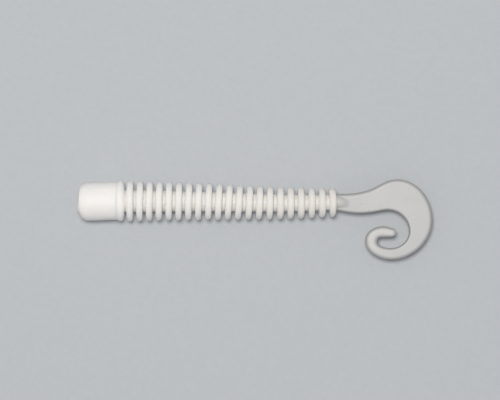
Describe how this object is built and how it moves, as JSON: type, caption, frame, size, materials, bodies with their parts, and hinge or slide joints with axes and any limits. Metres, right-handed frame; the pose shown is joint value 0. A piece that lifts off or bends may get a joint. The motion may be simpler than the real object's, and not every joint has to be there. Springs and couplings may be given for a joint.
{
  "type": "soft plastic fishing worm",
  "caption": "Ringed soft plastic fishing worm with a smooth round nose plug, a collar and a flat curled tail; it bends at its grooves, flaps its tail and opens its curl.",
  "frame": {"origin": "centre of the flat nose face", "axes": "+X along the body from the nose to the tail, +Y towards the arch of the tail, +Z square to the flat tail"},
  "size_m": [0.0883, 0.0202, 0.0102],
  "materials": {
    "worm_body": "soft moulded plastisol, satin, warm white, slightly translucent",
    "worm_tail": "the same plastisol in a thin blade, satin, paler and more translucent"
  },
  "bodies": {
    "head": {"nose_plug": "worm_body", "collar": "worm_body"},
    "core_01": {"core_01": "worm_body"},
    "rib_01": {"rib_01": "worm_body"},
    "core_02": {"core_02": "worm_body"},
    "rib_02": {"rib_02": "worm_body"},
    "core_03": {"core_03": "worm_body"},
    "rib_03": {"rib_03": "worm_body"},
    "core_04": {"core_04": "worm_body"},
    "rib_04": {"rib_04": "worm_body"},
    "core_05": {"core_05": "worm_body"},
    "rib_05": {"rib_05": "worm_body"},
    "core_06": {"core_06": "worm_body"},
    "rib_06": {"rib_06": "worm_body"},
    "core_07": {"core_07": "worm_body"},
    "rib_07": {"rib_07": "worm_body"},
    "core_08": {"core_08": "worm_body"},
    "rib_08": {"rib_08": "worm_body"},
    "core_09": {"core_09": "worm_body"},
    "rib_09": {"rib_09": "worm_body"},
    "core_10": {"core_10": "worm_body"},
    "rib_10": {"rib_10": "worm_body"},
    "core_11": {"core_11": "worm_body"},
    "rib_11": {"rib_11": "worm_body"},
    "core_12": {"core_12": "worm_body"},
    "rib_12": {"rib_12": "worm_body"},
    "core_13": {"core_13": "worm_body"},
    "rib_13": {"rib_13": "worm_body"},
    "core_14": {"core_14": "worm_body"},
    "rib_14": {"rib_14": "worm_body"},
    "core_15": {"core_15": "worm_body"},
    "rib_15": {"rib_15": "worm_body"},
    "core_16": {"core_16": "worm_body"},
    "rib_16": {"rib_16": "worm_body"},
    "core_17": {"core_17": "worm_body"},
    "rib_17": {"rib_17": "worm_body"},
    "core_18": {"core_18": "worm_body"},
    "rib_18": {"rib_18": "worm_body"},
    "core_19": {"core_19": "worm_body"},
    "rib_19": {"rib_19": "worm_body"},
    "core_20": {"core_20": "worm_body"},
    "rib_20": {"rib_20": "worm_body"},
    "core_21": {"core_21": "worm_body"},
    "rib_21": {"rib_21": "worm_body"},
    "tail_web_1": {"tail_web_1": "worm_tail"},
    "tail_web_2": {"tail_web_2": "worm_tail"},
    "tail_web_3": {"tail_web_3": "worm_tail"},
    "tail_web_4": {"tail_web_4": "worm_tail"},
    "tail_web_5": {"tail_web_5": "worm_tail"},
    "tail_curl_01": {"tail_curl_01": "worm_tail"},
    "tail_curl_02": {"tail_curl_02": "worm_tail"},
    "tail_curl_03": {"tail_curl_03": "worm_tail"},
    "tail_curl_04": {"tail_curl_04": "worm_tail"},
    "tail_curl_05": {"tail_curl_05": "worm_tail"},
    "tail_curl_06": {"tail_curl_06": "worm_tail"},
    "tail_curl_07": {"tail_curl_07": "worm_tail"},
    "tail_curl_08": {"tail_curl_08": "worm_tail"},
    "tail_curl_09": {"tail_curl_09": "worm_tail"},
    "tail_tip": {"tail_tip": "worm_tail"}
  },
  "joints": [
    {"name": "front_lift_bend", "type": "hinge", "parent": "head", "child": "core_01", "pos_m": [0.01159, 0, 0], "axis": [0, -1, 0], "range_deg": [-6.5, 6.5], "stiffness_Nm_per_rad": 0.0056},
    {"name": "front_side_bend", "type": "hinge", "parent": "core_01", "child": "rib_01", "pos_m": [0.01159, 0, 0], "axis": [0, 0, 1], "range_deg": [-6.5, 6.5], "stiffness_Nm_per_rad": 0.0056},
    {"name": "lift_bend_02", "type": "hinge", "parent": "rib_01", "child": "core_02", "pos_m": [0.01401, -0.00001, 0], "axis": [0, -1, 0], "range_deg": [-6.5, 6.5], "stiffness_Nm_per_rad": 0.0052},
    {"name": "side_bend_02", "type": "hinge", "parent": "core_02", "child": "rib_02", "pos_m": [0.01401, -0.00001, 0], "axis": [0, 0, 1], "range_deg": [-6.5, 6.5], "stiffness_Nm_per_rad": 0.0052},
    {"name": "lift_bend_03", "type": "hinge", "parent": "rib_02", "child": "core_03", "pos_m": [0.01642, -0.00001, 0], "axis": [0, -1, 0], "range_deg": [-6.5, 6.5], "stiffness_Nm_per_rad": 0.0049},
    {"name": "side_bend_03", "type": "hinge", "parent": "core_03", "child": "rib_03", "pos_m": [0.01642, -0.00001, 0], "axis": [0, 0, 1], "range_deg": [-6.5, 6.5], "stiffness_Nm_per_rad": 0.0049},
    {"name": "lift_bend_04", "type": "hinge", "parent": "rib_03", "child": "core_04", "pos_m": [0.01885, -0.00002, 0], "axis": [0, -1, 0], "range_deg": [-6.5, 6.5], "stiffness_Nm_per_rad": 0.0046},
    {"name": "side_bend_04", "type": "hinge", "parent": "core_04", "child": "rib_04", "pos_m": [0.01885, -0.00002, 0], "axis": [0, 0, 1], "range_deg": [-6.5, 6.5], "stiffness_Nm_per_rad": 0.0046},
    {"name": "lift_bend_05", "type": "hinge", "parent": "rib_04", "child": "core_05", "pos_m": [0.0213, -0.00003, 0], "axis": [0, -1, 0], "range_deg": [-6.5, 6.5], "stiffness_Nm_per_rad": 0.0043},
    {"name": "side_bend_05", "type": "hinge", "parent": "core_05", "child": "rib_05", "pos_m": [0.0213, -0.00003, 0], "axis": [0, 0, 1], "range_deg": [-6.5, 6.5], "stiffness_Nm_per_rad": 0.0043},
    {"name": "lift_bend_06", "type": "hinge", "parent": "rib_05", "child": "core_06", "pos_m": [0.02375, -0.00004, 0], "axis": [0, -1, 0], "range_deg": [-6.5, 6.5], "stiffness_Nm_per_rad": 0.0041},
    {"name": "side_bend_06", "type": "hinge", "parent": "core_06", "child": "rib_06", "pos_m": [0.02375, -0.00004, 0], "axis": [0, 0, 1], "range_deg": [-6.5, 6.5], "stiffness_Nm_per_rad": 0.0041},
    {"name": "lift_bend_07", "type": "hinge", "parent": "rib_06", "child": "core_07", "pos_m": [0.02621, -0.00006, 0], "axis": [0, -1, 0], "range_deg": [-6.5, 6.5], "stiffness_Nm_per_rad": 0.0038},
    {"name": "side_bend_07", "type": "hinge", "parent": "core_07", "child": "rib_07", "pos_m": [0.02621, -0.00006, 0], "axis": [0, 0, 1], "range_deg": [-6.5, 6.5], "stiffness_Nm_per_rad": 0.0038},
    {"name": "lift_bend_08", "type": "hinge", "parent": "rib_07", "child": "core_08", "pos_m": [0.02869, -0.00009, 0], "axis": [0, -1, 0], "range_deg": [-6.5, 6.5], "stiffness_Nm_per_rad": 0.0036},
    {"name": "side_bend_08", "type": "hinge", "parent": "core_08", "child": "rib_08", "pos_m": [0.02869, -0.00009, 0], "axis": [0, 0, 1], "range_deg": [-6.5, 6.5], "stiffness_Nm_per_rad": 0.0036},
    {"name": "lift_bend_09", "type": "hinge", "parent": "rib_08", "child": "core_09", "pos_m": [0.03118, -0.00013, 0], "axis": [0, -1, 0], "range_deg": [-6.5, 6.5], "stiffness_Nm_per_rad": 0.0033},
    {"name": "side_bend_09", "type": "hinge", "parent": "core_09", "child": "rib_09", "pos_m": [0.03118, -0.00013, 0], "axis": [0, 0, 1], "range_deg": [-6.5, 6.5], "stiffness_Nm_per_rad": 0.0033},
    {"name": "lift_bend_10", "type": "hinge", "parent": "rib_09", "child": "core_10", "pos_m": [0.03368, -0.00018, 0], "axis": [0, -1, 0], "range_deg": [-6.5, 6.5], "stiffness_Nm_per_rad": 0.0031},
    {"name": "side_bend_10", "type": "hinge", "parent": "core_10", "child": "rib_10", "pos_m": [0.03368, -0.00018, 0], "axis": [0, 0, 1], "range_deg": [-6.5, 6.5], "stiffness_Nm_per_rad": 0.0031},
    {"name": "rear_lift_bend", "type": "hinge", "parent": "rib_10", "child": "core_11", "pos_m": [0.03619, -0.00023, 0], "axis": [0, -1, 0], "range_deg": [-6.5, 6.5], "stiffness_Nm_per_rad": 0.0029},
    {"name": "rear_side_bend", "type": "hinge", "parent": "core_11", "child": "rib_11", "pos_m": [0.03619, -0.00023, 0], "axis": [0, 0, 1], "range_deg": [-6.5, 6.5], "stiffness_Nm_per_rad": 0.0029},
    {"name": "lift_bend_12", "type": "hinge", "parent": "rib_11", "child": "core_12", "pos_m": [0.03872, -0.00029, 0], "axis": [0, -1, 0], "range_deg": [-6.5, 6.5], "stiffness_Nm_per_rad": 0.0027},
    {"name": "side_bend_12", "type": "hinge", "parent": "core_12", "child": "rib_12", "pos_m": [0.03872, -0.00029, 0], "axis": [0, 0, 1], "range_deg": [-6.5, 6.5], "stiffness_Nm_per_rad": 0.0027},
    {"name": "lift_bend_13", "type": "hinge", "parent": "rib_12", "child": "core_13", "pos_m": [0.04126, -0.00035, 0], "axis": [0, -1, 0], "range_deg": [-6.5, 6.5], "stiffness_Nm_per_rad": 0.0025},
    {"name": "side_bend_13", "type": "hinge", "parent": "core_13", "child": "rib_13", "pos_m": [0.04126, -0.00035, 0], "axis": [0, 0, 1], "range_deg": [-6.5, 6.5], "stiffness_Nm_per_rad": 0.0025},
    {"name": "lift_bend_14", "type": "hinge", "parent": "rib_13", "child": "core_14", "pos_m": [0.04381, -0.00041, 0], "axis": [0, -1, 0], "range_deg": [-6.5, 6.5], "stiffness_Nm_per_rad": 0.0023},
    {"name": "side_bend_14", "type": "hinge", "parent": "core_14", "child": "rib_14", "pos_m": [0.04381, -0.00041, 0], "axis": [0, 0, 1], "range_deg": [-6.5, 6.5], "stiffness_Nm_per_rad": 0.0023},
    {"name": "lift_bend_15", "type": "hinge", "parent": "rib_14", "child": "core_15", "pos_m": [0.04637, -0.00045, 0], "axis": [0, -1, 0], "range_deg": [-6.5, 6.5], "stiffness_Nm_per_rad": 0.0021},
    {"name": "side_bend_15", "type": "hinge", "parent": "core_15", "child": "rib_15", "pos_m": [0.04637, -0.00045, 0], "axis": [0, 0, 1], "range_deg": [-6.5, 6.5], "stiffness_Nm_per_rad": 0.0021},
    {"name": "lift_bend_16", "type": "hinge", "parent": "rib_15", "child": "core_16", "pos_m": [0.04894, -0.00049, 0], "axis": [0, -1, 0], "range_deg": [-6.5, 6.5], "stiffness_Nm_per_rad": 0.002},
    {"name": "side_bend_16", "type": "hinge", "parent": "core_16", "child": "rib_16", "pos_m": [0.04894, -0.00049, 0], "axis": [0, 0, 1], "range_deg": [-6.5, 6.5], "stiffness_Nm_per_rad": 0.002},
    {"name": "lift_bend_17", "type": "hinge", "parent": "rib_16", "child": "core_17", "pos_m": [0.05152, -0.0005, 0], "axis": [0, -1, 0], "range_deg": [-6.5, 6.5], "stiffness_Nm_per_rad": 0.0018},
    {"name": "side_bend_17", "type": "hinge", "parent": "core_17", "child": "rib_17", "pos_m": [0.05152, -0.0005, 0], "axis": [0, 0, 1], "range_deg": [-6.5, 6.5], "stiffness_Nm_per_rad": 0.0018},
    {"name": "lift_bend_18", "type": "hinge", "parent": "rib_17", "child": "core_18", "pos_m": [0.05412, -0.00049, 0], "axis": [0, -1, 0], "range_deg": [-6.5, 6.5], "stiffness_Nm_per_rad": 0.0017},
    {"name": "side_bend_18", "type": "hinge", "parent": "core_18", "child": "rib_18", "pos_m": [0.05412, -0.00049, 0], "axis": [0, 0, 1], "range_deg": [-6.5, 6.5], "stiffness_Nm_per_rad": 0.0017},
    {"name": "lift_bend_19", "type": "hinge", "parent": "rib_18", "child": "core_19", "pos_m": [0.05673, -0.00047, 0], "axis": [0, -1, 0], "range_deg": [-6.5, 6.5], "stiffness_Nm_per_rad": 0.0016},
    {"name": "side_bend_19", "type": "hinge", "parent": "core_19", "child": "rib_19", "pos_m": [0.05673, -0.00047, 0], "axis": [0, 0, 1], "range_deg": [-6.5, 6.5], "stiffness_Nm_per_rad": 0.0016},
    {"name": "lift_bend_20", "type": "hinge", "parent": "rib_19", "child": "core_20", "pos_m": [0.05935, -0.00042, 0], "axis": [0, -1, 0], "range_deg": [-6.5, 6.5], "stiffness_Nm_per_rad": 0.0014},
    {"name": "side_bend_20", "type": "hinge", "parent": "core_20", "child": "rib_20", "pos_m": [0.05935, -0.00042, 0], "axis": [0, 0, 1], "range_deg": [-6.5, 6.5], "stiffness_Nm_per_rad": 0.0014},
    {"name": "lift_bend_21", "type": "hinge", "parent": "rib_20", "child": "core_21", "pos_m": [0.06198, -0.00037, 0], "axis": [0, -1, 0], "range_deg": [-6.5, 6.5], "stiffness_Nm_per_rad": 0.0013},
    {"name": "side_bend_21", "type": "hinge", "parent": "core_21", "child": "rib_21", "pos_m": [0.06198, -0.00037, 0], "axis": [0, 0, 1], "range_deg": [-6.5, 6.5], "stiffness_Nm_per_rad": 0.0013},
    {"name": "tail_sweep", "type": "hinge", "parent": "rib_21", "child": "tail_web_1", "pos_m": [0.06417, -0.00022, 0], "axis": [-0.0785, -0.9969, 0], "range_deg": [-12, 12], "stiffness_Nm_per_rad": 0.00021},
    {"name": "tail_sweep_2", "type": "hinge", "parent": "tail_web_1", "child": "tail_web_2", "pos_m": [0.06751, -0.00051, 0], "axis": [-0.0537, -0.9986, 0], "range_deg": [-12, 12], "stiffness_Nm_per_rad": 0.00025},
    {"name": "tail_sweep_3", "type": "hinge", "parent": "tail_web_2", "child": "tail_web_3", "pos_m": [0.07071, -0.00043, 0], "axis": [0.111, -0.9938, 0], "range_deg": [-12, 12], "stiffness_Nm_per_rad": 0.00028},
    {"name": "tail_sweep_4", "type": "hinge", "parent": "tail_web_3", "child": "tail_web_4", "pos_m": [0.07384, 0.00019, 0], "axis": [0.2718, -0.9623, 0], "range_deg": [-12, 12], "stiffness_Nm_per_rad": 0.00031},
    {"name": "tail_sweep_5", "type": "hinge", "parent": "tail_web_4", "child": "tail_web_5", "pos_m": [0.07691, 0.00111, 0], "axis": [0.2412, -0.9705, 0], "range_deg": [-12, 12], "stiffness_Nm_per_rad": 0.00037},
    {"name": "tail_uncurl_01", "type": "hinge", "parent": "tail_web_5", "child": "tail_curl_01", "pos_m": [0.08027, 0.00126, 0], "axis": [0, 0, 1], "range_deg": [-1.4, 7], "stiffness_Nm_per_rad": 0.0006},
    {"name": "tail_uncurl_02", "type": "hinge", "parent": "tail_curl_01", "child": "tail_curl_02", "pos_m": [0.0831, -0.00053, 0], "axis": [0, 0, 1], "range_deg": [-1.8, 9], "stiffness_Nm_per_rad": 0.0006},
    {"name": "tail_uncurl_03", "type": "hinge", "parent": "tail_curl_02", "child": "tail_curl_03", "pos_m": [0.08482, -0.00344, 0], "axis": [0, 0, 1], "range_deg": [-3, 15], "stiffness_Nm_per_rad": 0.0006},
    {"name": "tail_uncurl", "type": "hinge", "parent": "tail_curl_03", "child": "tail_curl_04", "pos_m": [0.08521, -0.00679, 0], "axis": [0, 0, 1], "range_deg": [-4, 20], "stiffness_Nm_per_rad": 0.0006},
    {"name": "tail_uncurl_05", "type": "hinge", "parent": "tail_curl_04", "child": "tail_curl_05", "pos_m": [0.08405, -0.00995, 0], "axis": [0, 0, 1], "range_deg": [-4, 20], "stiffness_Nm_per_rad": 0.0004},
    {"name": "tail_uncurl_06", "type": "hinge", "parent": "tail_curl_05", "child": "tail_curl_06", "pos_m": [0.08159, -0.01226, 0], "axis": [0, 0, 1], "range_deg": [-4, 20], "stiffness_Nm_per_rad": 0.00019},
    {"name": "tail_uncurl_07", "type": "hinge", "parent": "tail_curl_06", "child": "tail_curl_07", "pos_m": [0.07836, -0.01321, 0], "axis": [0, 0, 1], "range_deg": [-4, 20], "stiffness_Nm_per_rad": 0.00014},
    {"name": "tail_uncurl_08", "type": "hinge", "parent": "tail_curl_07", "child": "tail_curl_08", "pos_m": [0.07506, -0.01258, 0], "axis": [0, 0, 1], "range_deg": [-4, 20], "stiffness_Nm_per_rad": 0.00012},
    {"name": "tail_uncurl_09", "type": "hinge", "parent": "tail_curl_08", "child": "tail_curl_09", "pos_m": [0.07309, -0.01026, 0], "axis": [0, 0, 1], "range_deg": [-4, 20], "stiffness_Nm_per_rad": 0.00017},
    {"name": "tail_uncurl_10", "type": "hinge", "parent": "tail_curl_09", "child": "tail_tip", "pos_m": [0.07481, -0.00787, 0], "axis": [0, 0, 1], "range_deg": [-4, 20], "stiffness_Nm_per_rad": 0.00012}
  ],
  "couplings": [
    {"joint": "lift_bend_02", "follows": "front_lift_bend", "ratio": 1},
    {"joint": "side_bend_02", "follows": "front_side_bend", "ratio": 1},
    {"joint": "lift_bend_03", "follows": "front_lift_bend", "ratio": 1},
    {"joint": "side_bend_03", "follows": "front_side_bend", "ratio": 1},
    {"joint": "lift_bend_04", "follows": "front_lift_bend", "ratio": 1},
    {"joint": "side_bend_04", "follows": "front_side_bend", "ratio": 1},
    {"joint": "lift_bend_05", "follows": "front_lift_bend", "ratio": 1},
    {"joint": "side_bend_05", "follows": "front_side_bend", "ratio": 1},
    {"joint": "lift_bend_06", "follows": "front_lift_bend", "ratio": 1},
    {"joint": "side_bend_06", "follows": "front_side_bend", "ratio": 1},
    {"joint": "lift_bend_07", "follows": "front_lift_bend", "ratio": 1},
    {"joint": "side_bend_07", "follows": "front_side_bend", "ratio": 1},
    {"joint": "lift_bend_08", "follows": "front_lift_bend", "ratio": 1},
    {"joint": "side_bend_08", "follows": "front_side_bend", "ratio": 1},
    {"joint": "lift_bend_09", "follows": "front_lift_bend", "ratio": 1},
    {"joint": "side_bend_09", "follows": "front_side_bend", "ratio": 1},
    {"joint": "lift_bend_10", "follows": "front_lift_bend", "ratio": 1},
    {"joint": "side_bend_10", "follows": "front_side_bend", "ratio": 1},
    {"joint": "lift_bend_12", "follows": "rear_lift_bend", "ratio": 1},
    {"joint": "side_bend_12", "follows": "rear_side_bend", "ratio": 1},
    {"joint": "lift_bend_13", "follows": "rear_lift_bend", "ratio": 1},
    {"joint": "side_bend_13", "follows": "rear_side_bend", "ratio": 1},
    {"joint": "lift_bend_14", "follows": "rear_lift_bend", "ratio": 1},
    {"joint": "side_bend_14", "follows": "rear_side_bend", "ratio": 1},
    {"joint": "lift_bend_15", "follows": "rear_lift_bend", "ratio": 1},
    {"joint": "side_bend_15", "follows": "rear_side_bend", "ratio": 1},
    {"joint": "lift_bend_16", "follows": "rear_lift_bend", "ratio": 1},
    {"joint": "side_bend_16", "follows": "rear_side_bend", "ratio": 1},
    {"joint": "lift_bend_17", "follows": "rear_lift_bend", "ratio": 1},
    {"joint": "side_bend_17", "follows": "rear_side_bend", "ratio": 1},
    {"joint": "lift_bend_18", "follows": "rear_lift_bend", "ratio": 1},
    {"joint": "side_bend_18", "follows": "rear_side_bend", "ratio": 1},
    {"joint": "lift_bend_19", "follows": "rear_lift_bend", "ratio": 1},
    {"joint": "side_bend_19", "follows": "rear_side_bend", "ratio": 1},
    {"joint": "lift_bend_20", "follows": "rear_lift_bend", "ratio": 1},
    {"joint": "side_bend_20", "follows": "rear_side_bend", "ratio": 1},
    {"joint": "lift_bend_21", "follows": "rear_lift_bend", "ratio": 1},
    {"joint": "side_bend_21", "follows": "rear_side_bend", "ratio": 1},
    {"joint": "tail_sweep_2", "follows": "tail_sweep", "ratio": 1},
    {"joint": "tail_sweep_3", "follows": "tail_sweep", "ratio": 1},
    {"joint": "tail_sweep_4", "follows": "tail_sweep", "ratio": 1},
    {"joint": "tail_sweep_5", "follows": "tail_sweep", "ratio": 1},
    {"joint": "tail_uncurl_01", "follows": "tail_uncurl", "ratio": 0.35},
    {"joint": "tail_uncurl_02", "follows": "tail_uncurl", "ratio": 0.45},
    {"joint": "tail_uncurl_03", "follows": "tail_uncurl", "ratio": 0.75},
    {"joint": "tail_uncurl_05", "follows": "tail_uncurl", "ratio": 1},
    {"joint": "tail_uncurl_06", "follows": "tail_uncurl", "ratio": 1},
    {"joint": "tail_uncurl_07", "follows": "tail_uncurl", "ratio": 1},
    {"joint": "tail_uncurl_08", "follows": "tail_uncurl", "ratio": 1},
    {"joint": "tail_uncurl_09", "follows": "tail_uncurl", "ratio": 1},
    {"joint": "tail_uncurl_10", "follows": "tail_uncurl", "ratio": 1}
  ]
}
